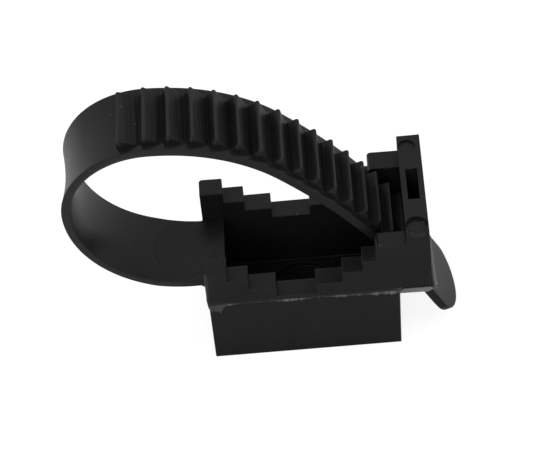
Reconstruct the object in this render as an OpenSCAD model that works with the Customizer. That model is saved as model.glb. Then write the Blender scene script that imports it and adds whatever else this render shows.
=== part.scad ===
/* [Standing block] */
// Length of the block under the cradle, at its upper edge
block_len = 25.6; // [22:0.1:30]
// Height of the block, from the base face to the rim
block_h = 11.3; // [9:0.1:16]
// Slope of the block's four sides, so that it leaves the mould
block_draft = 1.5; // [0:0.1:3]
// Thickness of the end wall between the well and the throat
well_end_wall = 2.4; // [1.5:0.1:4]
// Thickness of the floor under the well
floor_t = 3.8; // [2:0.1:6]
// Diameter of the fixing hole
fixing_hole_d = 4.5; // [3:0.1:6]
// Flat margin between the round screw seat and the well's sides
seat_margin = 0.65; // [0.4:0.05:1.5]
// Depth of the round screw seat
seat_depth = 0.8; // [0.3:0.1:1.5]

/* [Rim at the parting line] */
// Height of the bevelled rim
rim_h = 1.8; // [1:0.1:3]
// How far the rim's bevel draws in at the front, the back and the head's end
rim_inset = 0.75; // [0.3:0.05:1.2]
// How far the rim's left end stands out past the block
rim_left_reach = 0.2; // [0.1:0.05:0.8]
// Length of the lip that carries the strap's root
lip_len = 2.85; // [1.5:0.05:3]

/* [Stepped cradle] */
// Thickness of each side wall
wall_t = 2.7; // [2:0.1:4]
// Length of the left post
post_len = 3.1; // [3:0.1:5]
// Length of the second tread on each side
upper_tread = 2.75; // [2:0.05:4]
// Length of the first tread on each side
lower_tread = 3.6; // [2.6:0.1:5]
// Length of the cradle's level floor
cradle_floor_len = 5.2; // [4:0.1:7]
// Length of the third tread, on the head's side
third_tread = 1.8; // [1.2:0.1:3]
// Height of the cradle's floor above the rim
cradle_floor_rise = 0.25; // [0.1:0.05:1]
// Height of each step of the cradle
step_rise = 1.95; // [1.5:0.05:2.4]
// Radius of the outer upright corners
corner_r = 0.5; // [0.3:0.05:1]

/* [Head] */
// Length of the shoulder beside the head
shoulder_len = 4.1; // [3:0.1:6]
// Height of the shoulder above the third tread
shoulder_rise = 2.65; // [2:0.05:4]
// Radius of the shoulder's upper corner
shoulder_r = 0.6; // [0.4:0.1:1.8]
// Length of the head
head_len = 3.2; // [3:0.1:5]
// Height of the head above the shoulder
head_rise = 2.95; // [2:0.05:5]
// Slope of the head's end face, so that it leaves the mould
end_draft = 1.4; // [0:0.1:2.5]
// Length of the window in the head's top
window_len = 1.4; // [1:0.1:2]
// Width of the window, across the holder
window_w = 5.1; // [3:0.1:7]
// Thickness of the spring pawl between the throat and the window
pawl_t = 0.75; // [0.5:0.05:0.9]
// Height of the bridge that carries the pawl
bridge_h = 3; // [1.5:0.1:4]
// Width of the slit on each side of the pawl
pawl_slit = 0.3; // [0.2:0.05:0.6]
// Gap between the pawl and the teeth
pawl_gap = 0.2; // [0.15:0.05:0.3]
// Height of the mouth in the head's end face, above the rim
mouth_rise = 1; // [0.5:0.1:2]
// Height of the strap's guide, above the rim
guide_rise = 3.2; // [1.5:0.1:4]
// Thickness of the guide at its top
guide_t = 1.6; // [1:0.1:2.4]
// Diameter of the front ejector mark
front_mark_d = 2.5; // [1.5:0.1:2.6]
// Diameter of the back ejector mark
back_mark_d = 2.2; // [1.5:0.1:2.6]
// Depth of the ejector marks
mark_depth = 0.45; // [0.1:0.05:0.6]
// Distance of the front mark's centre from the head's front end
front_mark_from_end = 1.4; // [1.3:0.05:2.2]
// Distance of the back mark's centre from the head's back end
back_mark_from_end = 1.75; // [1.3:0.05:2.2]

/* [Strap] */
// Width of the strap
strap_w = 10.2; // [9:0.1:14]
// Thickness of the strap
strap_t = 1.15; // [0.8:0.05:1.5]
// Gap between the strap's edges and the side walls
strap_side_gap = 0.35; // [0.2:0.05:0.8]
// Gap between the strap and the faces of the throat
throat_gap = 0.35; // [0.25:0.05:0.6]
// Steepness of the tail, in degrees below level
tail_angle = 65; // [62:0.5:68]
// How far past the head's inner face the tail's line crosses the level of the rim's top
tail_reach = 0.4; // [0:0.05:0.8]
// Level stretch of the strap at its root
root_len = 0.3; // [0.2:0.1:2]
// Radius of the fillet under the strap's root
root_fillet_r = 0.9; // [0.4:0.1:1.4]
// Bend radius of the rising quarter of the loop
rise_r = 16.4; // [14:0.1:19]
// Bend radius of the quarter that turns over
turn_r = 11.4; // [10.5:0.1:12.3]
// Turn of the crown, the bend after the highest point, in degrees
crown_turn = 45; // [40:1:50]
// Bend radius on the way down through the throat
slope_r = 88; // [70:1:110]
// Height of the tail's tip above the base face
tip_clearance = 0.2; // [0.2:0.1:3]
// Thickness of the tail at its tip
tip_t = 0.8; // [0.4:0.05:0.8]
// How much larger the tip's radius is than half the strap's width
tip_fullness = 0.2; // [0.1:0.05:1]

/* [Teeth] */
// Number of teeth on the strap
tooth_count = 17; // [10:1:17]
// Distance between teeth, along the middle of the strap
tooth_pitch = 2.92; // [2.7:0.01:3.1]
// Height of the teeth above the strap
tooth_h = 1.6; // [1.2:0.05:1.8]
// Flat land on each tooth's crest
tooth_land = 0.25; // [0.1:0.05:0.4]
// Lean of each tooth's steep face
tooth_lean = 12; // [4:1:18]
// How far the last valley lies before the head's inner face
valley_back = 0.2; // [0:0.05:0.6]
// Plain margin on each side of the teeth
tooth_margin = 0.9; // [0.5:0.1:1.6]

/* [Hidden] */
$fn = 96;

// Overlap that joins two shapes, depth that a shape's foot sinks, and reach of a cut past the face it opens
join = 0.3;
sink = 0.05;
past = 1;

// Plan: the fixing hole stands on the origin, and the head is on the right
channel_w = strap_w + 2 * strap_side_gap;
body_w = channel_w + 2 * wall_t;
block_w = body_w - 2 * rim_inset;
left_x = -block_len / 2 - rim_left_reach;
lip_x = left_x + lip_len;
well_end_x = block_len / 2 - well_end_wall;
left_edges = [left_x, left_x + post_len, left_x + post_len + upper_tread,
    left_x + post_len + upper_tread + lower_tread];
step_x = left_edges[3] + cradle_floor_len;
right_edges = [step_x, step_x + lower_tread, step_x + lower_tread + upper_tread,
    step_x + lower_tread + upper_tread + third_tread];
shoulder_x = right_edges[3];
head_x = shoulder_x + shoulder_len;
right_x = head_x + head_len;

// Levels above the base face
rim_top = block_h + rim_h;
lip_top = rim_top + strap_t;
floor_z = rim_top + cradle_floor_rise;
shoulder_z = floor_z + 3 * step_rise + shoulder_rise;
head_z = shoulder_z + head_rise;
mouth_z = rim_top + mouth_rise;
guide_z = rim_top + guide_rise;
block_taper = block_h * tan(block_draft);
end_taper = (head_z - rim_top) * tan(end_draft);

// Directions in the side view, for a heading in degrees
function forward(a) = [cos(a), sin(a)];
function inward(a) = [sin(a), -cos(a)];

// Route of the strap's middle line: level out of the lip, then bends that all turn the same way, then a
// straight tail. The crown's radius is the one that brings the strap onto the tail's line.
turns = [90, 90, crown_turn, tail_angle - crown_turn];
function heading(i) = i == 0 ? 180 : heading(i - 1) - turns[i - 1];
function bend_step(i) = inward(heading(i)) - inward(heading(i + 1));
bend_count = len(turns);
route_start = [left_x - root_len, rim_top + strap_t / 2];
tail_point = [head_x + tail_reach, rim_top];
across = inward(-tail_angle);
crown_r = ((tail_point - route_start) * across - rise_r * (bend_step(0) * across)
    - turn_r * (bend_step(1) * across) - slope_r * (bend_step(3) * across)) / (bend_step(2) * across);
radii = [rise_r, turn_r, crown_r, slope_r];
function bend_start(i) = i == 0 ? route_start : bend_start(i - 1) + radii[i - 1] * bend_step(i - 1);
function bend_centre(i) = bend_start(i) + radii[i] * inward(heading(i));
function length_before(i) = i == 0 ? 0 : length_before(i - 1) + radii[i - 1] * turns[i - 1] * PI / 180;
tail_start = bend_start(bend_count);
tail_start_s = length_before(bend_count);
band_step = 1;

// A place on the route: s is the length along the middle line, off the distance outwards from it
function bend_at(s, i = 0) = i == bend_count || s < length_before(i + 1) ? i : bend_at(s, i + 1);
function heading_at(s) = let (i = bend_at(s))
    i == bend_count ? -tail_angle : heading(i) - (s - length_before(i)) / radii[i] * 180 / PI;
function place(s, off = 0) = let (i = bend_at(s), a = heading_at(s))
    i == bend_count ? tail_start + (s - tail_start_s) * forward(a) - off * inward(a)
    : bend_centre(i) - (radii[i] + off) * inward(a);

// The throat follows the strap's own line half-way up the guide
function length_at_level(z) = z > tail_start.y
    ? length_before(3) + slope_r * (acos((z - bend_centre(3).y) / slope_r) - crown_turn) * PI / 180
    : tail_start_s + (tail_start.y - z) / sin(tail_angle);
throat_s = length_at_level(rim_top + guide_rise / 2);
throat_point = place(throat_s);
throat_heading = heading_at(throat_s);
throat_angle = -throat_heading;
function throat_x(z, off) = let (p = throat_point - off * inward(throat_heading))
    p.x + (p.y - z) / tan(throat_angle);
function throat_z(x, off) = let (p = throat_point - off * inward(throat_heading))
    p.y - (x - p.x) * tan(throat_angle);

// The tail ends where its lower edge is the tip's clearance above the base
tail_low = tip_clearance + strap_t / 2 * cos(tail_angle);
tail_len = (tail_start.y - tail_low) / sin(tail_angle);
tail_end_s = tail_start_s + tail_len;
tip_r = strap_w / 2 + tip_fullness;
thin_s = tail_end_s - tip_r;

// Teeth: the last one holds the pawl, and the rest follow back towards the root
tooth_run = tooth_h * tan(tooth_lean);
crest_back = (tooth_pitch - tooth_run - tooth_land) * cos(throat_angle);
crest_out = tooth_h * sin(throat_angle);
valley_x = head_x - valley_back;
valley_z = throat_z(valley_x, strap_t / 2);
last_tooth_s = throat_s + ([valley_x, valley_z] - throat_point) * forward(throat_heading);
valley = place(last_tooth_s, strap_t / 2);
first_tooth_s = last_tooth_s - (tooth_count - 1) * tooth_pitch;
ramp_steps = 4;
ramp_hollow = 1.25;
tooth_w = strap_w - 2 * tooth_margin;

// The pawl's end lies along the last tooth's steep face
face_angle = 90 - throat_angle - tooth_lean;
function pawl_end_z(x) = valley.y + (x - valley.x) * tan(face_angle) + pawl_gap / cos(face_angle);
pawl_w = window_w - 2 * pawl_slit;
pawl_x = valley.x + crest_out - crest_back + pawl_gap;
bar_off = strap_t / 2 + tooth_h + throat_gap;
guide_off = -strap_t / 2 - throat_gap;

// Both ends of one tread, that many steps above the cradle's floor
function tread(edges, i, steps) = [for (x = [edges[i], edges[i + 1]]) [x, floor_z + steps * step_rise]];

// Carries a shape drawn in the side view across the holder
module across_holder(width) {
    rotate([90, 0, 0])
        linear_extrude(width, center = true)
            children();
}

// The whole form seen from the side: block, bevelled rim, stairs, shoulder and head
module side_form() {
    difference() {
        polygon(concat(
            [[block_len / 2 - block_taper, 0], [-block_len / 2 + block_taper, 0], [-block_len / 2, block_h],
                [left_x, rim_top]],
            [for (i = [0:2]) each tread(left_edges, i, 3 - i)],
            [[left_edges[3], floor_z], [step_x, floor_z]],
            [for (i = [0:2]) each tread(right_edges, i, i + 1)],
            [[shoulder_x, shoulder_z], [head_x, shoulder_z], [head_x, head_z], [right_x - end_taper, head_z],
                [right_x, rim_top], [right_x - rim_inset, block_h], [block_len / 2, block_h]]));
        translate([shoulder_x, shoulder_z])
            difference() {
                translate([-past, -shoulder_r])
                    square([past + shoulder_r, shoulder_r + past]);
                translate([shoulder_r, -shoulder_r])
                    circle(shoulder_r);
            }
    }
}

// The whole form seen from the end: block, bevelled rim and upright walls
module end_form() {
    half = [[block_w / 2 - block_taper, 0], [block_w / 2, block_h], [body_w / 2, rim_top],
        [body_w / 2, head_z]];
    polygon(concat(half, [for (i = [3:-1:0]) [-half[i].x, half[i].y]]));
}

// The plan with its rounded corners
module plan_form() {
    translate([left_x, -body_w / 2 + corner_r])
        square([right_x - left_x, body_w - 2 * corner_r]);
    translate([left_x + corner_r, -body_w / 2])
        square([right_x - left_x - 2 * corner_r, body_w]);
    for (x = [left_x + corner_r, right_x - corner_r], y = [-1, 1] * (body_w / 2 - corner_r))
        translate([x, y])
            circle(corner_r);
}

// The space between the side walls, seen from the side: channel, well and throat
module passage() {
    polygon([[left_x - past, head_z + past], [head_x, head_z + past],
        [head_x, throat_z(head_x, bar_off)], [throat_x(mouth_z, bar_off), mouth_z],
        [right_x + past, mouth_z], [right_x + past, block_h - past],
        [throat_x(block_h, guide_off), block_h - past], [throat_x(block_h, guide_off), block_h],
        [throat_x(guide_z, guide_off), guide_z], [throat_x(guide_z, guide_off) - guide_t, guide_z],
        [well_end_x, rim_top], [well_end_x, floor_t], [lip_x, floor_t], [lip_x, lip_top],
        [left_x - past, lip_top]]);
}

// Block, cradle and head, with the channel, the well and the throat cut out
module housing() {
    difference() {
        intersection() {
            across_holder(body_w) side_form();
            rotate([90, 0, 90])
                translate([0, 0, left_x])
                    linear_extrude(right_x - left_x)
                        end_form();
            linear_extrude(head_z)
                plan_form();
        }
        across_holder(channel_w) passage();
        fixing_hole();
        pawl_window();
        ejector_marks();
    }
}

// Fixing hole and the round seat for a screw head
module fixing_hole() {
    translate([0, 0, -past])
        cylinder(h = floor_t + 2 * past, d = fixing_hole_d);
    translate([0, 0, floor_t - seat_depth])
        cylinder(h = seat_depth + past, d = channel_w - 2 * seat_margin);
}

// Window behind the pawl, and the slits that free its sides
module pawl_window() {
    translate([head_x + pawl_t, -window_w / 2, mouth_z])
        cube([window_len, window_w, head_z - mouth_z + past]);
    for (side = [-1, 1])
        translate([head_x - join, side * (window_w - pawl_slit) / 2 - pawl_slit / 2, mouth_z])
            cube([pawl_t + 2 * join, pawl_slit, head_z - bridge_h - mouth_z]);
}

// Round marks of the ejector pins on the head's top
module ejector_marks() {
    middle = head_x + (head_len - end_taper) / 2;
    places = [front_mark_from_end - body_w / 2, body_w / 2 - back_mark_from_end];
    diameters = [front_mark_d, back_mark_d];
    for (i = [0, 1])
        translate([middle, places[i], head_z - mark_depth])
            cylinder(h = mark_depth + past, d = diameters[i]);
}

// The pawl, which leans from its bridge into the valley before the last tooth
module pawl() {
    seat_z = throat_z(pawl_x, bar_off) + join;
    across_holder(pawl_w)
        polygon([[head_x, head_z - bridge_h], [head_x + pawl_t, head_z - bridge_h], [pawl_x + pawl_t, seat_z],
            [pawl_x + pawl_t, pawl_end_z(pawl_x + pawl_t)], [pawl_x, pawl_end_z(pawl_x)], [pawl_x, seat_z]]);
}

// Fillet under the strap's root
module root_fillet() {
    across_holder(strap_w)
        translate([left_x - root_fillet_r, rim_top - root_fillet_r])
            difference() {
                square([root_fillet_r + join, root_fillet_r + strap_t / 2]);
                translate([0, sink])
                    circle(root_fillet_r);
            }
}

// The strap from its root to its tip: one band in the side view, thinned on its lower side towards the tip
module strap_band() {
    bend_stations = [for (i = [0:bend_count - 1]) each
        let (steps = ceil((length_before(i + 1) - length_before(i)) / band_step))
        [for (j = [0:steps - 1]) length_before(i) + (length_before(i + 1) - length_before(i)) * j / steps]];
    stations = concat(bend_stations, [tail_start_s]);
    last = len(stations) - 1;
    across_holder(strap_w)
        polygon(concat(
            [[left_x + join, rim_top]],
            [for (s = stations) place(s, strap_t / 2)],
            [place(tail_end_s, strap_t / 2), place(tail_end_s, strap_t / 2 - tip_t),
                place(thin_s, -strap_t / 2)],
            [for (i = [last:-1:0]) if (stations[i] < thin_s) place(stations[i], -strap_t / 2)],
            [[left_x + join, lip_top]]));
}

// What is cut off the tail's end to round its tip
module tip_corners() {
    centre = place(tail_end_s) - tip_r * forward(-tail_angle);
    translate([centre.x, 0, centre.y])
        rotate([0, tail_angle, 0])
            difference() {
                translate([0, -strap_w, -strap_t])
                    cube([tip_r + past, 2 * strap_w, 2 * strap_t]);
                cylinder(h = 4 * strap_t, r = tip_r, center = true);
            }
}

// Saw teeth: a steep face on the root's side, a flat land, and a hollow ramp towards the tip
module strap_teeth() {
    foot = strap_t / 2 - sink;
    rise = tooth_h + sink;
    ramp_at = tooth_run + tooth_land;
    ramp_len = tooth_pitch - ramp_at;
    across_holder(tooth_w)
        polygon(concat(
            [for (k = [0:tooth_count - 1]) each let (s = first_tooth_s + k * tooth_pitch) concat(
                [place(s, foot), place(s + tooth_run, foot + rise)],
                [for (j = [0:ramp_steps - 1]) let (u = j / ramp_steps)
                    place(s + ramp_at + u * ramp_len, foot + rise * pow(1 - u, ramp_hollow))])],
            [place(last_tooth_s + tooth_pitch, foot)],
            [for (k = [2 * tooth_count:-1:0]) place(first_tooth_s + k * tooth_pitch / 2)]));
}

module strap_holder() {
    color("#262628")
        union() {
            housing();
            pawl();
            root_fillet();
            strap_teeth();
            difference() {
                strap_band();
                tip_corners();
            }
        }
}

strap_holder();
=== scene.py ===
import math

import bmesh
import bpy
import numpy as np
from mathutils import Matrix


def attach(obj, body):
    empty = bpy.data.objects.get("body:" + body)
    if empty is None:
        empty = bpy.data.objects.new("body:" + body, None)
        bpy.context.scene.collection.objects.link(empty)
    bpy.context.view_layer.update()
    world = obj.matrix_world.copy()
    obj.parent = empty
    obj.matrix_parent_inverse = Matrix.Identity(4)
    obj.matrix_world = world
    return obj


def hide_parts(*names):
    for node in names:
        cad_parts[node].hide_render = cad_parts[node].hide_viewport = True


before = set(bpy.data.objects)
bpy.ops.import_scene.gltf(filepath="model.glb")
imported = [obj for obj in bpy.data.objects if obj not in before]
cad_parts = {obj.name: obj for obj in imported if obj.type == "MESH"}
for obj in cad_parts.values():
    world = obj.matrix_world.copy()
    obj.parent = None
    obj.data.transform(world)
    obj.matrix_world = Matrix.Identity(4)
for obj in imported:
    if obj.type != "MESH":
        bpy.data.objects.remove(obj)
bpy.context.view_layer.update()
MM = 0.001

# Sizes of the holder, in millimetres, as the solids have them
LEFT_X, RIGHT_X = -13.0, 17.1
BLOCK_H, RIM_TOP, SHOULDER_Z, HEAD_Z = 11.3, 13.1, 21.85, 24.8
BLOCK_LEN, BLOCK_W, BODY_W = 25.6, 14.8, 16.3

# Where the moulding stands off the solids: the head's end, the back wall by its distance from the left end, and the
# block's foot at the left, the right and both sides. Edges have a small radius.
HEAD_END_OUT, BACK_SHEAR = 0.15, 0.0075
FOOT_OUT_LEFT, FOOT_OUT_RIGHT, FOOT_OUT_SIDES = 0.25, 0.13, 0.3
MOULDED_R = 0.11
FLAT, CORNER = math.radians(0.6), math.radians(28)

# The strap: half width, half thickness, and the radii of its outer and inner edges
STRAP_HALF_W, STRAP_HALF_T, EDGE_R, INNER_EDGE_R = 5.1, 0.575, 0.17, 0.06
# How far its inner face stands proud of the solid's, and how far its root runs back into the lip
INNER_PROUD, ROOT_LEN = 0.015, 1.8
# How much wider its front and back edges run beside the teeth: lengths along the strap, then amounts
FRONT_WIDER = np.array([[0.0, 6.0, 34.0, 46.0, 62.0, 74.0], [0.0, 0.33, 0.3, 0.2, 0.08, 0.0]])
BACK_WIDER = np.array([[0.0, 6.0, 34.0, 46.0, 60.0, 76.0, 82.0], [0.0, 0.3, 0.3, 0.16, 0.34, 0.34, 0.0]])
# How hollow it bends across its width, and how its loop leans about a line near its front edge
CURL, LEAN, LEAN_Y = 0.40, 0.035, -3.6

# The saw teeth and the round tip
TOOTH_COUNT, TOOTH_PITCH, TOOTH_H, TOOTH_HALF_W = 17, 2.92, 1.6, 4.2
TOOTH_RUN = TOOTH_H * math.tan(math.radians(12))
TOOTH_LAND, RAMP_HOLLOW, CREST_SHARP = 0.25, 1.25, 9.0
LAST_TOOTH = 86.8585
FIRST_TOOTH = LAST_TOOTH - (TOOTH_COUNT - 1) * TOOTH_PITCH
TEETH_END = FIRST_TOOTH + TOOTH_COUNT * TOOTH_PITCH
TIP_R, TIP_T = 5.3, 0.8
# The rounded end of a tooth: distance in from its side, then share of its height
TOOTH_SIDE = np.array([[0.0, 0.03, 0.09, 0.17, 0.3], [0.0, 0.9, 0.965, 0.99, 1.0]])
SIDE_WALL = TOOTH_SIDE[0, 1]

# The front and back ejector pins: where each met the head, its radius and how deep it pressed
PINS = np.array([[15.40, -7.0, 1.44, 0.55], [15.13, 6.4, 1.17, 0.36]])
# The solids' plainer marks at the same places, and a radius that takes in either
MARK_X, MARKS_Y, MARK_R = 15.42, np.array([-6.75, 6.4]), 1.35

# The strap's route in the side view: level out of the lip, four bends that turn the same way, a straight tail
ROUTE_START = np.array([-13.3, 13.675])
BEND_R = np.array([16.4, 11.4, 23.6848, 88.0])
BEND_TURN = np.radians([90.0, 90.0, 45.0, 20.0])
TAIL_LEN = 9.996


def inward(heading):
    """Unit vector to the right of a heading in the side view: (sin a, -cos a)."""
    return np.stack([np.sin(heading), -np.cos(heading)], -1)


BEND_HEADING = math.pi - np.concatenate([[0.0], np.cumsum(BEND_TURN)])
BEND_S = np.concatenate([[0.0], np.cumsum(BEND_R * BEND_TURN)])
BEND_STEP = BEND_R[:, None] * (inward(BEND_HEADING[:-1]) - inward(BEND_HEADING[1:]))
BEND_START = ROUTE_START + np.concatenate([np.zeros((1, 2)), np.cumsum(BEND_STEP, 0)])
BEND_CENTRE = BEND_START[:-1] + BEND_R[:, None] * inward(BEND_HEADING[:-1])
LAST_BEND = len(BEND_R) - 1
TAIL_END = BEND_S[-1] + TAIL_LEN
THIN_FROM = TAIL_END - TIP_R


def route(s):
    """Point and heading of the strap's middle line at length s: an arc about each bend's centre, straight before
    the first bend and after the last."""
    s = np.asarray(s, float)
    i = np.clip(np.searchsorted(BEND_S, s, side="right") - 1, 0, LAST_BEND)
    along = np.clip(s, 0.0, BEND_S[-1])
    heading = BEND_HEADING[i] - (along - BEND_S[i]) / BEND_R[i]
    arc = BEND_CENTRE[i] - BEND_R[i, None] * inward(heading)
    forward = np.stack([np.cos(heading), np.sin(heading)], -1)
    return arc + (s - along)[:, None] * forward, heading


def bend_sharpness(s):
    """One over the bend radius at length s, run together over about 6 mm by a raised-cosine average as a springy
    strap does, and let in from nothing over the first 9 mm, as a power of s."""
    margin, step, let_in = 12.0, 0.1, 9.0
    fine = np.arange(-margin, TAIL_END + margin, step)
    i = np.clip(np.searchsorted(BEND_S, fine, side="right") - 1, 0, LAST_BEND)
    sharp = np.where((fine > 0) & (fine < BEND_S[-1]), 1.0 / BEND_R[i], 0.0)
    window = np.hanning(61)
    sharp = np.convolve(sharp, window / window.sum(), mode="same")
    return np.interp(s, fine, sharp) * np.clip(np.asarray(s) / let_in, 0.0, 1.0) ** 1.5


def srgb(code):
    """Linear colour of an sRGB hex value."""
    c = np.array([int(code[i:i + 2], 16) for i in (1, 3, 5)]) / 255.0
    c = np.where(c <= 0.04045, c / 12.92, ((c + 0.055) / 1.055) ** 2.4)
    return (*c.tolist(), 1.0)


def make_piece(name, points, faces, sharp_deg=32.0, **on_points):
    """An object of the holder from points in millimetres, smooth except at edges sharper than sharp_deg, with
    named values on its points for the material."""
    mesh = bpy.data.meshes.new(name)
    mesh.from_pydata((np.asarray(points) * MM).tolist(), [], faces)
    mesh.validate()
    for key, values in on_points.items():
        layer = mesh.attributes.new(key, "FLOAT", "POINT")
        layer.data.foreach_set("value", np.ravel(values).astype(np.float32))
    mesh.shade_smooth()
    mesh.set_sharp_from_angle(angle=math.radians(sharp_deg))
    piece = bpy.data.objects.new(name, mesh)
    bpy.context.scene.collection.objects.link(piece)
    return piece


def grid_faces(rows, columns, closed_rows=False, closed_columns=False):
    """Quads of a grid whose points run row by row; a closed direction joins its last line to its first."""
    r = np.arange(rows if closed_rows else rows - 1)
    c = np.arange(columns if closed_columns else columns - 1)
    R, C = [a.ravel() for a in np.meshgrid(r, c, indexing="ij")]
    r1, c1 = (R + 1) % rows, (C + 1) % columns
    return np.stack([R * columns + C, R * columns + c1, r1 * columns + c1, r1 * columns + C], 1).tolist()


def capped_tube(rows, columns):
    """Faces of a grid that is closed across and capped on its first and last row."""
    caps = [list(range(columns))[::-1], list(range((rows - 1) * columns, rows * columns))]
    return grid_faces(rows, columns, closed_columns=True) + caps


def drawn_tight(s):
    """How far the teeth lie along from their even pitch, by straight lines between tooth numbers: they close up
    over the crown and open again where the strap is pulled straight into the head."""
    n = (np.asarray(s) - FIRST_TOOTH) / TOOTH_PITCH
    return np.interp(n, [1.0, 6.2, 8.8, 12.0, 13.5, 17.0], [0.0, -0.32, 0.0, 0.5, 0.5, 0.0])


def tooth_height(s):
    """Height of the saw teeth at length s: the lesser of a steep straight face and a land with a ramp that falls as
    a power of what is left of it, run together over the crest by a soft minimum, -log(e^-ka + e^-kb) / k."""
    t = np.asarray(s) - FIRST_TOOTH - drawn_tight(s)
    t = t - np.clip(np.floor(t / TOOTH_PITCH + 1e-9), 0, TOOTH_COUNT - 1) * TOOTH_PITCH
    steep = TOOTH_H * t / TOOTH_RUN
    left = np.clip(1.0 - (t - TOOTH_RUN - TOOTH_LAND) / (TOOTH_PITCH - TOOTH_RUN - TOOTH_LAND), 0.0, 1.0)
    ramp = TOOTH_H * left ** RAMP_HOLLOW
    h = -np.logaddexp(-CREST_SHARP * steep, -CREST_SHARP * ramp) / CREST_SHARP
    return np.where((t >= 0) & (t <= TOOTH_PITCH), np.maximum(h, 0.0), 0.0)


def strap_stations():
    """Lengths at which the strap's section is drawn: fine and even on the plain stretches, at each tooth's own
    corners along the teeth, and closing up by a sine towards the round tip."""
    crest = TOOTH_RUN + TOOTH_LAND
    ramp = TOOTH_PITCH - crest
    face = [0.0, 0.04, 0.14, 0.23, 0.28, 0.32, 0.36, 0.41, 0.47, 0.53]
    down = np.array([0.0, 0.03, 0.07, 0.12, 0.2, 0.32, 0.45, 0.6, 0.75, 0.88, 0.96])
    tooth = np.concatenate([face, crest + ramp * down])
    teeth = (FIRST_TOOTH + TOOTH_PITCH * np.arange(TOOTH_COUNT)[:, None] + tooth).ravel()
    teeth = teeth + drawn_tight(teeth)
    return np.concatenate([
        np.linspace(-ROOT_LEN, 0.0, 8)[:-1], np.linspace(0.0, FIRST_TOOTH, 110)[:-1], teeth,
        np.linspace(TEETH_END, THIN_FROM, 22)[:-1],
        THIN_FROM + TIP_R * np.sin(np.radians(np.linspace(0.0, 87.5, 26)))])


def strap_section():
    """The strap's section as a closed ring: the place across its width, the distance off its middle line and the
    share of the tooth's height at each point. It goes round the outer face with the teeth's side walls, an edge,
    the flat inner face and the other edge. An edge is a quarter circle outside and a smaller one inside."""
    plain = np.linspace(STRAP_HALF_W - EDGE_R, TOOTH_HALF_W + SIDE_WALL, 4)
    rounded = TOOTH_HALF_W - TOOTH_SIDE[0]
    toothed = np.concatenate([rounded[1:4], np.linspace(rounded[4], 0.0, 9)])
    half = np.concatenate([plain, toothed])
    outer_y = np.concatenate([-half, half[-2::-1]])
    tooth = np.interp(TOOTH_HALF_W - np.abs(outer_y), TOOTH_SIDE[0], TOOTH_SIDE[1])
    turn = np.radians(np.linspace(90.0, -90.0, 9))[1:-1]
    bend = np.where(turn > 0, EDGE_R, INNER_EDGE_R)
    edge_y = STRAP_HALF_W - bend + bend * np.cos(turn)
    edge_o = np.sign(np.round(turn, 6)) * (STRAP_HALF_T - bend) + bend * np.sin(turn)
    flat = STRAP_HALF_W - INNER_EDGE_R
    inner_y = np.concatenate([[flat], np.linspace(flat - 0.02, 0.02 - flat, 31), [-flat]])
    y = np.concatenate([outer_y, edge_y, inner_y, -edge_y[::-1]])
    off = np.concatenate([np.full(len(outer_y), STRAP_HALF_T), edge_o,
                          np.full(len(inner_y), -STRAP_HALF_T), edge_o[::-1]])
    tooth = np.concatenate([tooth, np.zeros(len(y) - len(tooth))])
    return y[::-1], off[::-1], tooth[::-1]


def strap_surface(s, y, off):
    """Where a point of the strap lies: its distance off the route is carried along the outward normal, and a bent
    strap is hollow across its width, its middle 0.4 w^2 / 2R inside its edges, less where the teeth stiffen it.
    The loop doesn't close quite square: its back edge leans in by 0.3 mm at the turn, as a sine squared of s."""
    point, heading = route(s)
    stiff = np.interp(s, [FIRST_TOOTH - 5, FIRST_TOOTH + 5], [1.0, 0.3])
    curl = CURL * stiff * bend_sharpness(s) / 2
    lift = off + curl[:, None] * (y ** 2 - STRAP_HALF_W ** 2)
    out = -inward(heading)
    xz = point[:, None, :] + lift[..., None] * out[:, None, :]
    lean = np.sin(math.pi * np.clip((s - 6.0) / 50.0, 0.0, 1.0)) ** 2
    x = xz[..., 0] + LEAN * lean[:, None] * (y - LEAN_Y)
    return np.stack([x, np.broadcast_to(y, lift.shape), xz[..., 1]], -1)


def toothed_strap():
    """The strap: its section carried along the route, with the teeth's height added on the outer face, the margins
    beside the teeth drawn out in proportion to their distance from the teeth, the inner side thinned towards the
    tip, the width drawn in as a circle at the tip, and the root sunk into the lip."""
    s = strap_stations()
    y, off, tooth = strap_section()
    past = np.clip((s - THIN_FROM) / TIP_R, 0.0, 1.0)
    half_w = np.minimum(STRAP_HALF_W, TIP_R * np.sqrt(1.0 - past ** 2))
    width = half_w[:, None] / STRAP_HALF_W * y
    front, back = np.interp(s, *FRONT_WIDER), np.interp(s, *BACK_WIDER)
    wider = np.where(y > 0, back[:, None], front[:, None])
    margin = STRAP_HALF_W - EDGE_R - TOOTH_HALF_W - SIDE_WALL
    beside_teeth = np.clip((np.abs(y) - TOOTH_HALF_W - SIDE_WALL) / margin, 0.0, 1.0)
    width = width + wider * np.sign(y) * beside_teeth
    thin = (2 * STRAP_HALF_T - TIP_T) * past
    depth = np.where(off < 0, off + thin[:, None] * (-off / STRAP_HALF_T), off)
    depth = depth + tooth * tooth_height(s)[:, None]
    root = np.clip(-s / ROOT_LEN, 0.0, 1.0)[:, None]
    depth = np.where(off < 0, depth - INNER_PROUD + 0.1 * root, depth - 0.2 * root)
    points = strap_surface(s, width, depth)
    streaked = (tooth > 0) & ((s > FIRST_TOOTH) & (s < TEETH_END))[:, None]
    # painted highlight: the crests are made paler to stand in for their gloss
    crest = np.exp(-((tooth_height(s) - TOOTH_H) / 0.2) ** 2)[:, None] * tooth
    return make_piece("toothed_strap", points.reshape(-1, 3), capped_tube(*depth.shape),
                      streaked=streaked, whitened=0.045 * crest)


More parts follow.
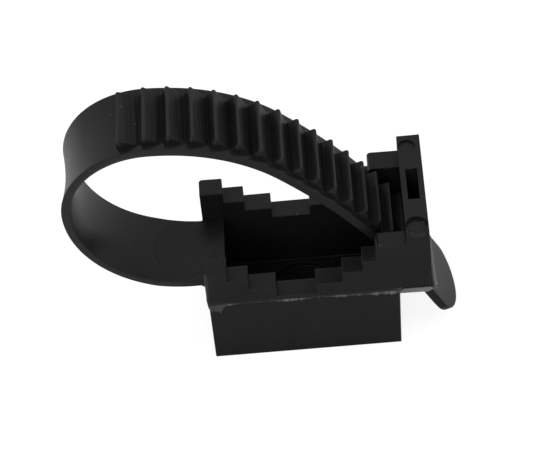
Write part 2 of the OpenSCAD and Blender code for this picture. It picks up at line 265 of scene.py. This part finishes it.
def route_place(x, z):
    """Length along the route and distance off it of points in the side view, from the bend, or the straight, that
    lies nearest."""
    slack = 0.02
    p = np.stack([x, z], -1)
    best_s, best_off = np.full(len(x), -99.0), np.full(len(x), 99.0)
    for i in range(len(BEND_R)):
        rel = p - BEND_CENTRE[i]
        heading = np.arctan2(-rel[:, 0], rel[:, 1])
        heading = np.where(heading < BEND_HEADING[i + 1] - 0.01, heading + 2 * math.pi, heading)
        s = BEND_S[i] + (BEND_HEADING[i] - heading) * BEND_R[i]
        off = np.hypot(rel[:, 0], rel[:, 1]) - BEND_R[i]
        near = (s > BEND_S[i] - slack) & (s < BEND_S[i + 1] + slack) & (np.abs(off) < np.abs(best_off))
        best_s, best_off = np.where(near, s, best_s), np.where(near, off, best_off)
    heading = BEND_HEADING[-1]
    rel = p - BEND_START[-1]
    s = BEND_S[-1] + rel @ np.array([math.cos(heading), math.sin(heading)])
    off = -(rel @ inward(heading))
    near = (s > BEND_S[-1]) & (np.abs(off) < np.abs(best_off))
    return np.where(near, s, best_s), np.where(near, off, best_off)


def of_strap(co):
    """Which of the solid's points are the strap's: those in its band along the route and within its width. Near the
    middle plane only the round tip has any, and the others there are the pawl's."""
    near, pawl_half_w = 0.03, 2.6
    s, off = route_place(co[:, 0], co[:, 2])
    across = np.abs(co[:, 1])
    tall = np.where(s < 2, STRAP_HALF_T, STRAP_HALF_T + TOOTH_H)
    in_band = (off > -STRAP_HALF_T - near) & (off < tall + near) & (s > -0.05)
    return in_band & (across < STRAP_HALF_W + 0.01) & ((across > pawl_half_w) | (s > THIN_FROM - 1))


def of_mark(co):
    """Which of the solid's points are those of its plain ejector marks: near a mark's axis, on the head's top."""
    from_mark = np.hypot(co[:, :1] - MARK_X, co[:, 1:2] - MARKS_Y).min(1)
    return (co[:, 2] > HEAD_Z - 1.0) & (from_mark < MARK_R)


def as_moulded(co):
    """The solid's points where the moulding has them: the head's end moved out, the back wall sheared out in
    proportion to its distance from the left end, and the foot's corners moved out, so the block hardly tapers."""
    x, y, z = co.T
    moved = co.copy()
    moved[:, 0] += HEAD_END_OUT * ((x > 16.0) & (z > 13.0))
    moved[:, 1] += BACK_SHEAR * (x - LEFT_X) * (y > BODY_W / 2 - 0.05)
    foot = (z < 0.05) & (np.abs(x) > 12.0) & (np.abs(y) > 7.0)
    moved[:, 0] += foot * np.where(x < 0, -FOOT_OUT_LEFT, FOOT_OUT_RIGHT)
    moved[:, 1] += foot * np.sign(y) * FOOT_OUT_SIDES
    return moved


def pressed_by_pins(mesh):
    """The body less two round pins, each a cylinder from its depth up, for the ejector marks. The front one breaks
    through the head's front face."""
    body = bpy.data.objects.new("body", mesh)
    bpy.context.scene.collection.objects.link(body)
    a = np.linspace(0.0, 2 * math.pi, 65)[:-1]
    pins = []
    for x, y, radius, depth in PINS:
        rows = [np.stack([x + radius * np.cos(a), y + radius * np.sin(a), np.full(len(a), z)], -1)
                for z in (HEAD_Z - depth, HEAD_Z + 1.0)]
        pins.append(make_piece("pin", np.concatenate(rows), capped_tube(2, len(a))))
        body.modifiers.new("press", "BOOLEAN").object = pins[-1]
    pressed = bpy.data.meshes.new_from_object(body.evaluated_get(bpy.context.evaluated_depsgraph_get()))
    pressed.name = "moulded_housing"
    for done in [body] + pins:
        bpy.data.objects.remove(done)
    return pressed


def bare_body():
    """The housing's mesh without strap and marks: a merged copy of the solid, its points moved to where the
    moulding has them, less each face whose corners are all the strap's or a mark's, with its flat faces made whole
    again."""
    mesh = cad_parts["strap_holder"].data.copy()
    mesh.name = "moulded_housing"
    bm = bmesh.new()
    bm.from_mesh(mesh)
    bmesh.ops.remove_doubles(bm, verts=bm.verts, dist=0.002 * MM)
    bm.verts.ensure_lookup_table()
    co = np.array([v.co for v in bm.verts]) / MM
    # the places are worked out as one array, and set one by one because a bmesh takes no array
    for v, place in zip(bm.verts, (as_moulded(co) * MM).tolist()):
        v.co = place
    for off_it in (of_strap(co), of_mark(co)):
        gone = [f for f in bm.faces if all(off_it[v.index] for v in f.verts)]
        bmesh.ops.delete(bm, geom=gone, context="FACES")
    bmesh.ops.holes_fill(bm, edges=[e for e in bm.edges if e.is_boundary], sides=0)
    bmesh.ops.dissolve_limit(bm, angle_limit=FLAT, verts=bm.verts, edges=bm.edges)
    bmesh.ops.recalc_face_normals(bm, faces=bm.faces)
    bm.to_mesh(mesh)
    bm.free()
    return mesh


def moulded_housing():
    """Block, cradle and head: the bare body pressed by the ejector pins, with a moulded radius on its corners,
    except on short edges and inside the throat, where there is no room for one."""
    mesh = pressed_by_pins(bare_body())
    bm = bmesh.new()
    bm.from_mesh(mesh)
    bmesh.ops.dissolve_limit(bm, angle_limit=FLAT, verts=bm.verts, edges=bm.edges)
    bevel = bm.edges.layers.float.new("bevel_weight_edge")
    for e in bm.edges:
        mid = (e.verts[0].co + e.verts[1].co) / 2 / MM
        in_throat = abs(mid.y) < 5.3 and mid.x > 9.0 and mid.z < SHOULDER_Z
        if len(e.link_faces) == 2 and e.calc_face_angle() > CORNER and e.calc_length() > 0.5 * MM:
            e[bevel] = 0.0 if in_throat else 1.0
    bm.to_mesh(mesh)
    bm.free()
    mesh.shade_smooth()
    mesh.set_sharp_from_angle(angle=CORNER)
    piece = bpy.data.objects.new("moulded_housing", mesh)
    bpy.context.scene.collection.objects.link(piece)
    edge = piece.modifiers.new("moulded_edges", "BEVEL")
    edge.limit_method = "WEIGHT"
    edge.width = MOULDED_R * MM
    edge.segments = 3
    edge.use_clamp_overlap = False
    weigh = piece.modifiers.new("flat_faces", "WEIGHTED_NORMAL")
    weigh.keep_sharp = True
    weigh.weight = 100
    return piece


def wander(t, seed, lengths):
    """A smooth uneven line between 0 and 1: sines of the given wave lengths with seeded phases, added and scaled."""
    rng = np.random.default_rng(seed)
    phase = rng.uniform(0, 2 * math.pi, len(lengths))
    weight = rng.uniform(0.5, 1.0, len(lengths))
    wave = np.sin(2 * math.pi * np.asarray(t)[..., None] / np.array(lengths) + phase) @ weight
    return 0.5 + 0.5 * wave / weight.sum()


# Angles round a fin's half-round profile, from its lower edge to its upper
PROFILE = np.radians(np.linspace(-90.0, 90.0, 13))


def fin(path, out, low, high, proud, root, blunt=0.0):
    """A ragged fin of flash: a half-round profile, flatter where it is blunt, low below the path and high above it,
    and proud of it along out, with its back sunk by root. Gives its points, before their height is added, and that
    height."""
    power = np.full(len(path), 1.0) - blunt
    reach = proud[:, None] * np.clip(np.cos(PROFILE), 1e-9, 1.0) ** power[:, None]
    reach = np.concatenate([reach, np.full((len(path), 1), -root)], 1)
    height = np.sin(PROFILE) * np.where(PROFILE < 0, low[:, None], high[:, None])
    height = np.concatenate([height, np.zeros((len(path), 1))], 1)
    return reach[..., None] * out[:, None, :] + path[:, None, :], height


def make_fin(name, points, whitened):
    """A closed fin from its rows of points, capped at both ends."""
    return make_piece(name, points.reshape(-1, 3), capped_tube(*points.shape[:2]), 50.0, whitened=whitened)


# Where the mould's halves met worst along the rim: lengths from the head's end, reaches and strengths
SWELL_AT = np.array([5.8, 7.8, 12.9, 18.3, 20.2, 27.3, 29.2])
SWELL_REACH = np.array([1.0, 0.6, 0.9, 1.2, 0.7, 0.7, 0.8])
SWELL_STRENGTH = np.array([1.0, 0.7, 0.7, 1.0, 0.7, 0.6, 0.6])
TONGUE_AT, TONGUE_REACH = 29.2, 1.1


def flash_line():
    """The fin that the mould's two halves leave at the rim's lower edge: carried along the front, the left end and
    the back, tall and pale where the halves met badly and a mere line elsewhere, by Gaussian swells and a wander.
    It lies back along the bevel on the overhang, where its pale colour is a painted reflection of the white paper in
    the bevel, and a thin tongue of it hangs over the block's left corner."""
    half_len, half_w = BLOCK_LEN / 2, BLOCK_W / 2
    legs = np.array([[RIGHT_X + 0.2, -half_w], [-half_len, -half_w], [-half_len, half_w], [RIGHT_X - 0.75, half_w]])
    run = np.concatenate([[0.0], np.cumsum(np.linalg.norm(np.diff(legs, axis=0), axis=1))])
    t = np.linspace(0.0, run[-1], 640)
    path = np.stack([np.interp(t, run, legs[:, 0]), np.interp(t, run, legs[:, 1]), np.full(len(t), BLOCK_H)], -1)
    out = np.where(np.abs(path[:, :2]) >= [half_len - 0.05, half_w - 0.05], np.sign(path[:, :2]), 0.0)
    out[:, 0] = np.where(path[:, 0] > 0, 0.0, out[:, 0])
    out = np.concatenate([out / np.linalg.norm(out, axis=1, keepdims=True), np.zeros((len(t), 1))], 1)
    swell = np.exp(-((t[:, None] - SWELL_AT) / SWELL_REACH) ** 2) @ SWELL_STRENGTH
    swell = np.clip(swell + 0.7 * wander(t, 4, [9.0, 4.1, 1.9, 0.9]) ** 3, 0.0, 1.2)
    overhang = np.interp(t, [4.3, 4.8], [1.0, 0.0])
    tongue = np.exp(-((t - TONGUE_AT) / TONGUE_REACH) ** 4)
    ragged = 0.6 + 0.8 * wander(t, 9, [2.3, 1.1, 0.6, 0.37])
    tall = (0.22 + 0.24 * swell) * ragged * (1 - overhang)
    proud = (0.12 + 0.14 * swell) * ragged * (1 - 0.5 * tongue) * (1 - overhang) + 0.1 * overhang
    path[:, 2] += 0.3 + 0.3 * np.interp(t, [9.3, 13.3], [0.0, 1.0]) + 0.3 * overhang
    path += (0.1 + 0.18 * overhang)[:, None] * out
    low = tall + 1.3 * tongue * ragged + (1.1 + 0.25 * np.interp(t, [0.0, 4.5], [1.0, 0.0])) * overhang
    points, height = fin(path, out, low, tall + 0.95 * overhang, proud, 0.3, 0.92 * overhang)
    points[..., 2] += height
    # on the overhang the fin leans out with the bevel, and its end is cut on a slant
    points += (0.42 * overhang[:, None] * height)[..., None] * out[:, None, :]
    points[..., 0] += 0.6 * np.interp(t, [0.0, 1.8], [1.0, 0.0])[:, None] * height
    # on the overhang the paleness is a painted reflection of the white paper in the bevel; elsewhere it is the thin
    # flash's own colour
    paler = (0.2 + 0.42 * swell) * ragged * (1 - 0.5 * tongue) * (1 - 0.6 * overhang) + 0.06 * overhang
    return make_fin("flash_line", points, np.repeat(np.clip(paler, 0.0, 1.0), points.shape[1]))


def corner_flash():
    """The same fin where the halves meet up the head's front right-hand corner: it leans with the end face, carries
    the front face on to the right, further towards the rim, and only its outer edge is pale: the flash's own paleness
    with a painted highlight along the corner."""
    end_lean = 0.0244
    up = np.linspace(0.0, 1.0, 200)
    z = RIM_TOP - 0.75 + up * (HEAD_Z - RIM_TOP - 0.2)
    path = np.stack([RIGHT_X + 0.05 - end_lean * (z - RIM_TOP), np.full(len(z), -BODY_W / 2 + 0.2), z], -1)
    out = np.tile([0.985, -0.17, 0.0], (len(z), 1))
    ragged = 0.85 + 0.3 * wander(12 * up, 21, [3.1, 1.7, 0.8, 0.45])
    proud = (0.26 + 0.38 * (1 - up) ** 1.5) * ragged * np.sqrt(np.clip((1 - up) / 0.06, 0.0, 1.0))
    thick = np.full(len(z), 0.09)
    points, height = fin(path, out, thick, thick, proud, 0.25)
    points[..., 1] += height
    edge = np.append(np.cos(PROFILE), 0.0) - 1.0
    # painted highlight: the outer edge is made paler to stand in for the corner's edge highlight, on top of the
    # flash's paleness
    paler = np.clip(1.5 + edge * proud[:, None] / 0.36, 0.06, 0.95) * ragged[:, None]
    paler = paler * (0.75 + 0.25 * (1 - up[:, None]))
    return make_fin("corner_flash", points, np.clip(paler, 0.0, 1.0))


def pin_lip():
    """The lip that the front ejector pin pushed out over the head's front edge: a low fin carried along the arc of
    the pin's circle that lies beyond the face, and dying into it at both ends."""
    x_y, radius, half_arc = PINS[0, :2], PINS[0, 2] + 0.02, 58.0
    share = np.linspace(0.0, 1.0, 90)
    a = np.radians(-90.0 + half_arc * (1 - 2 * share))
    out = np.stack([np.cos(a), np.sin(a), np.zeros(len(a))], -1)
    path = np.concatenate([x_y + radius * out[:, :2], np.full((len(a), 1), HEAD_Z - 0.26)], 1)
    proud = 0.04 + 0.09 * np.sin(math.pi * share)
    points, height = fin(path, out, np.full(len(a), 0.6), np.full(len(a), 0.25), proud, 0.28)
    points[..., 2] += height
    return make_fin("pin_lip", points, np.full(points.shape[:2], 0.03))


def ejector_ring():
    """The witness line of a round ejector pin on the strap's upper face at its root: a low half-round bead carried
    round a circle drawn on the strap."""
    centre_s, ring_r, bead_half_w, bead_h, sunk = 2.55, 4.19, 0.09, 0.035, 0.05
    a = np.linspace(0.0, 2 * math.pi, 121)[:-1]
    b = np.radians(np.linspace(0.0, 180.0, 7))
    radius = ring_r + bead_half_w * np.cos(b)[None, :] * np.ones((len(a), 1))
    s = centre_s + radius * np.cos(a)[:, None]
    y = radius * np.sin(a)[:, None]
    rise = np.where(np.sin(b) > 1e-6, bead_h * np.sin(b), -sunk)
    off = np.broadcast_to(-STRAP_HALF_T - INNER_PROUD - rise, s.shape)
    points = strap_surface(s.ravel(), y.ravel()[:, None], off.ravel()[:, None])[:, 0]
    faces = grid_faces(len(a), len(b), closed_rows=True, closed_columns=True)
    return make_piece("ejector_ring", points, faces, 60.0)


def node(tree, kind, links=(), **settings):
    """Adds one node, sets its named properties and input values, and links (input, output socket) pairs to it."""
    n = tree.nodes.new(kind)
    for key, value in settings.items():
        if hasattr(n, key):
            setattr(n, key, value)
        else:
            n.inputs[key.replace("_", " ")].default_value = value
    for socket, source in links:
        tree.links.new(source, n.inputs[socket])
    return n


def black_polyamide():
    """Black polyamide as it leaves the mould: a soot-black body colour, a low satin skin that brightens at glancing
    angles, faint cloudy patches where the melt met the steel, and a fine eroded grain."""
    mat = bpy.data.materials.new("black_polyamide")
    mat.use_nodes = True
    t = mat.node_tree
    t.nodes.clear()
    where = node(t, "ShaderNodeTexCoord").outputs["Object"]
    # cloudy patches 7 mm across, broken up by finer ones inside them
    clouds = node(t, "ShaderNodeTexNoise", [("Vector", where)], Scale=1 / (7 * MM), Detail=4.0, Roughness=0.6)
    tint = node(t, "ShaderNodeValToRGB", [("Fac", clouds.outputs["Fac"])])
    dark, light = tint.color_ramp.elements
    dark.position, light.position = 0.25, 0.75
    dark.color, light.color = srgb("#131315"), srgb("#1a191a")
    # lines that the cutter left along the mould's teeth, 0.55 mm apart, coarser than real ones so that they show
    stretched = node(t, "ShaderNodeMapping", [("Vector", where)], Scale=(1.0, 0.04, 1.0))
    streaks = node(t, "ShaderNodeTexNoise", [("Vector", stretched.outputs["Vector"])], Scale=1 / (0.55 * MM),
                   Detail=2.0)
    toothed = node(t, "ShaderNodeAttribute", attribute_name="streaked")
    lines = node(t, "ShaderNodeMapRange", [("Value", streaks.outputs["Fac"])], From_Min=0.35, From_Max=0.65,
                 To_Min=0.0, To_Max=0.75)
    dull = node(t, "ShaderNodeMath", [(0, lines.outputs["Result"]), (1, toothed.outputs["Fac"])],
                operation="MULTIPLY")
    body = node(t, "ShaderNodeMix", [("Factor", dull.outputs[0]), ("A", tint.outputs["Color"])], data_type="RGBA",
                B=srgb("#0b0b0c"))
    # flash, where the plastic is thin, is paler; the same pale colour is a painted highlight on the teeth's crests
    # and the corner fin's outer edge, and a painted reflection of the white paper on the overhang's fin
    thin = node(t, "ShaderNodeAttribute", attribute_name="whitened")
    pale = node(t, "ShaderNodeMix", [("Factor", thin.outputs["Fac"]), ("A", body.outputs["Result"])],
                data_type="RGBA", B=srgb("#7c7779"))
    # dust: a faint speck of 0.15 to 0.3 mm in one cell of five, the cells 1.5 mm apart
    grid = node(t, "ShaderNodeTexVoronoi", [("Vector", where)], Scale=1 / (1.5 * MM))
    speck = node(t, "ShaderNodeMapRange", [("Value", grid.outputs["Distance"])], From_Min=0.05, From_Max=0.1,
                 To_Min=0.2, To_Max=0.0)
    chance = node(t, "ShaderNodeSeparateColor", [("Color", grid.outputs["Color"])])
    few = node(t, "ShaderNodeMath", [(0, chance.outputs["Red"])], operation="GREATER_THAN")
    few.inputs[1].default_value = 0.8
    dust = node(t, "ShaderNodeMath", [(0, speck.outputs["Result"]), (1, few.outputs[0])], operation="MULTIPLY")
    colour = node(t, "ShaderNodeMix", [("Factor", dust.outputs[0]), ("A", pale.outputs["Result"])],
                  data_type="RGBA", B=srgb("#8a8887"))
    # satin skin, uneven with the clouds and duller along the cutter's lines
    satin = node(t, "ShaderNodeMapRange", [("Value", clouds.outputs["Fac"])],
                 From_Min=0.3, From_Max=0.7, To_Min=0.24, To_Max=0.34)
    matter = node(t, "ShaderNodeMath", [(0, toothed.outputs["Fac"]), (2, satin.outputs["Result"])],
                  operation="MULTIPLY_ADD")
    matter.inputs[1].default_value = 0.17
    # eroded grain of 0.45 mm, 0.03 mm deep, and the cutter's lines, 0.05 mm deep
    grain = node(t, "ShaderNodeTexNoise", [("Vector", where)], Scale=1 / (0.45 * MM), Detail=2.0)
    relief = node(t, "ShaderNodeBump", [("Height", grain.outputs["Fac"])], Strength=0.3, Distance=0.03 * MM)
    scored = node(t, "ShaderNodeBump", [("Height", dull.outputs[0]), ("Normal", relief.outputs["Normal"])],
                  Strength=1.0, Distance=0.05 * MM)
    skin = node(t, "ShaderNodeBsdfPrincipled", [("Base Color", colour.outputs["Result"]),
                                                ("Roughness", matter.outputs[0]),
                                                ("Normal", scored.outputs["Normal"])], IOR=1.53)
    skin.inputs["Specular IOR Level"].default_value = 0.3
    node(t, "ShaderNodeOutputMaterial", [("Surface", skin.outputs["BSDF"])])
    return mat


def white_where_seen(tree, mirrored):
    """1 for rays that show a surface as itself, its share mirrored for rays that show it in a gloss, and 0 for rays
    that light others."""
    ray = node(tree, "ShaderNodeLightPath").outputs
    straight = node(tree, "ShaderNodeMath", [(0, ray["Is Camera Ray"]), (1, ray["Is Transmission Ray"])],
                    operation="MAXIMUM")
    share = node(tree, "ShaderNodeMath", [(0, ray["Is Glossy Ray"]), (2, straight.outputs[0])],
                 operation="MULTIPLY_ADD")
    share.inputs[1].default_value = mirrored
    return share


def stand(x, y, z, place):
    """The matrix of an object with these axes at that place."""
    m = np.eye(4)
    m[:3, 0], m[:3, 1], m[:3, 2], m[:3, 3] = x, y, z, place
    return Matrix(m.tolist())


def white_paper():
    """White paper, lit by the lamps and white where it is seen. How much of it a gloss shows goes by place, which
    paints shade and light into the holder's reflections: little near the front and beside the block's foot, a painted
    shadow, and more far in front, ahead of the loop and under the overhang, painted brighter reflections. Under the
    block it is dark, a painted shadow."""
    paper = bpy.data.materials.new("white_paper")
    paper.use_nodes = True
    t = paper.node_tree
    t.nodes.clear()
    glow = node(t, "ShaderNodeEmission", Color=(1, 1, 1, 1))
    where = node(t, "ShaderNodeTexCoord").outputs["Object"]
    # distance outside the block's foot
    size = node(t, "ShaderNodeVectorMath", [(0, where)], operation="ABSOLUTE")
    beyond = node(t, "ShaderNodeVectorMath", [(0, size.outputs[0])], operation="SUBTRACT")
    beyond.inputs[1].default_value = (12.7 * MM, 7.4 * MM, 0.0)
    sides = node(t, "ShaderNodeSeparateXYZ", [("Vector", beyond.outputs[0])])
    away = node(t, "ShaderNodeMath", [(0, sides.outputs["X"]), (1, sides.outputs["Y"])], operation="MAXIMUM")
    # shares that a gloss shows, by place: a painted shadow near the front and beside the block's foot
    place = node(t, "ShaderNodeSeparateXYZ", [("Vector", where)])
    front = node(t, "ShaderNodeMapRange", [("Value", place.outputs["Y"])], From_Min=-10 * MM, From_Max=12 * MM,
                 To_Min=0.05, To_Max=0.42)
    foot = node(t, "ShaderNodeMapRange", [("Value", away.outputs[0])], From_Max=3.5 * MM, To_Min=0.1)
    mirrored = node(t, "ShaderNodeMath", [(0, front.outputs["Result"]), (1, foot.outputs["Result"])],
                    operation="MULTIPLY")
    # painted brighter reflections far in front, ahead of the loop and under the overhang raise the share
    far = node(t, "ShaderNodeMapRange", [("Value", place.outputs["Y"])], From_Min=-28 * MM, From_Max=-60 * MM,
               To_Min=0.0, To_Max=0.45)
    ahead = node(t, "ShaderNodeMapRange", [("Value", place.outputs["Y"])], From_Min=-8 * MM, From_Max=-12 * MM,
                 To_Min=0.0, To_Max=0.4)
    left = node(t, "ShaderNodeMapRange", [("Value", place.outputs["X"])], From_Min=-13 * MM, From_Max=-17 * MM)
    loop = node(t, "ShaderNodeMath", [(0, ahead.outputs["Result"]), (1, left.outputs["Result"])],
                operation="MULTIPLY")
    from_spot = node(t, "ShaderNodeVectorMath", [(0, where)], operation="DISTANCE")
    from_spot.inputs[1].default_value = (15.2 * MM, -5.6 * MM, 0.0)
    spot = node(t, "ShaderNodeMapRange", [("Value", from_spot.outputs["Value"])], From_Min=2.8 * MM,
                From_Max=3.8 * MM, To_Min=0.66, To_Max=0.0)
    for paler in (far.outputs["Result"], loop.outputs[0], spot.outputs["Result"]):
        mirrored = node(t, "ShaderNodeMath", [(0, mirrored.outputs[0]), (1, paler)], operation="MAXIMUM")
    shown = white_where_seen(t, 0.0)
    t.links.new(mirrored.outputs[0], shown.inputs[1])
    # painted shadow: the paper doesn't glow under the block's foot
    open_floor = node(t, "ShaderNodeMapRange", [("Value", away.outputs[0])], From_Min=-0.4 * MM,
                      From_Max=-0.1 * MM, To_Max=0.86)
    seen = node(t, "ShaderNodeMath", [(0, shown.outputs[0]), (1, open_floor.outputs["Result"])],
                operation="MULTIPLY")
    t.links.new(seen.outputs[0], glow.inputs["Strength"])
    matt = node(t, "ShaderNodeBsdfDiffuse", Color=(0.2, 0.2, 0.2, 1))
    both = node(t, "ShaderNodeAddShader", [(0, glow.outputs[0]), (1, matt.outputs[0])])
    node(t, "ShaderNodeOutputMaterial", [("Surface", both.outputs[0])])
    return paper


def white_table():
    """A flat square of paper that the holder stands on, a hair below its base."""
    r, below = 3.0, -0.00002
    mesh = bpy.data.meshes.new("table")
    mesh.from_pydata([(-r, -r, below), (r, -r, below), (r, r, below), (-r, r, below)], [], [(0, 1, 2, 3)])
    table = bpy.data.objects.new("table", mesh)
    bpy.context.scene.collection.objects.link(table)
    mesh.materials.append(white_paper())


def white_room():
    """White surroundings: white where they are seen, and a little under half of that in a gloss and as light."""
    world = bpy.data.worlds.new("white_room")
    bpy.context.scene.world = world
    world.use_nodes = True
    t = world.node_tree
    t.nodes.clear()
    shown = white_where_seen(t, 0.03)
    level = node(t, "ShaderNodeMapRange", [("Value", shown.outputs[0])], To_Min=0.45, To_Max=1.0)
    room = node(t, "ShaderNodeBackground", [("Strength", level.outputs["Result"])], Color=(1, 1, 1, 1))
    node(t, "ShaderNodeOutputWorld", [("Surface", room.outputs[0])])


# Soft boxes: name, place and size in metres, and watts. All are turned to a point on the holder's block.
SOFTBOXES = [("left_softbox", (-0.30, -0.12, 0.34), 0.30, 0.7), ("right_softbox", (0.34, -0.05, 0.30), 0.30, 0.6),
             ("front_softbox", (-0.04, -0.42, 0.30), 0.30, 1.1), ("top_softbox", (0.0, 0.18, 0.48), 0.40, 0.4)]
LIT_POINT = np.array([0.0, 0.0, 0.015])


def soft_light():
    """Four square lamps that light the holder and don't show in its gloss."""
    for name, place, size, watts in SOFTBOXES:
        lamp = bpy.data.lights.new(name, "AREA")
        lamp.size = size
        lamp.energy = watts
        holder = bpy.data.objects.new(name, lamp)
        bpy.context.scene.collection.objects.link(holder)
        holder.visible_glossy = False
        aim = LIT_POINT - np.array(place)
        aim = aim / np.linalg.norm(aim)
        side = np.cross(aim, [0, 0, 1.0])
        side /= np.linalg.norm(side)
        holder.matrix_world = stand(side, np.cross(side, aim), -aim, place)


# The camera: its turn, height and roll in degrees, the point in millimetres that it is set from, how far it stands to
# the left, up and back from there, and its focal length in pixels of an image 558 wide
CAMERA_DEG = [1.4043, 51.3595, -5.7822]
SET_FROM = np.array([2.0, 1.85, 11.3])
STANDS_LEFT, STANDS_UP, STANDS_BACK = 4.9269, 2.4282, 406.2652
FOCAL_PX, IMAGE_W, SENSOR_W = 2998.68, 558, 36.0


def set_camera():
    """The camera at the photograph's viewing angle."""
    azimuth, elevation, roll = np.radians(CAMERA_DEG)
    level = math.cos(elevation)
    right = np.array([math.cos(azimuth), math.sin(azimuth), 0.0])
    ahead = np.array([-math.sin(azimuth) * level, math.cos(azimuth) * level, -math.sin(elevation)])
    up = np.cross(right, ahead)
    right, up = (math.cos(roll) * right + math.sin(roll) * up, -math.sin(roll) * right + math.cos(roll) * up)
    eye = SET_FROM - STANDS_LEFT * right + STANDS_UP * up - STANDS_BACK * ahead
    lens = bpy.data.cameras.new("camera")
    lens.sensor_fit = "HORIZONTAL"
    lens.sensor_width = SENSOR_W
    lens.lens = FOCAL_PX * SENSOR_W / IMAGE_W
    lens.clip_start = 0.01
    camera = bpy.data.objects.new("camera", lens)
    bpy.context.scene.collection.objects.link(camera)
    camera.matrix_world = stand(right, up, -ahead, eye * MM)
    bpy.context.scene.camera = camera


plastic = black_polyamide()
for piece in (moulded_housing(), toothed_strap(), flash_line(), corner_flash(), pin_lip(), ejector_ring()):
    piece.data.materials.clear()
    piece.data.materials.append(plastic)
    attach(piece, "root")
    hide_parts("strap_holder")

bpy.context.scene.view_settings.view_transform = "Standard"
white_table()
white_room()
soft_light()
set_camera()

bpy.context.view_layer.update()
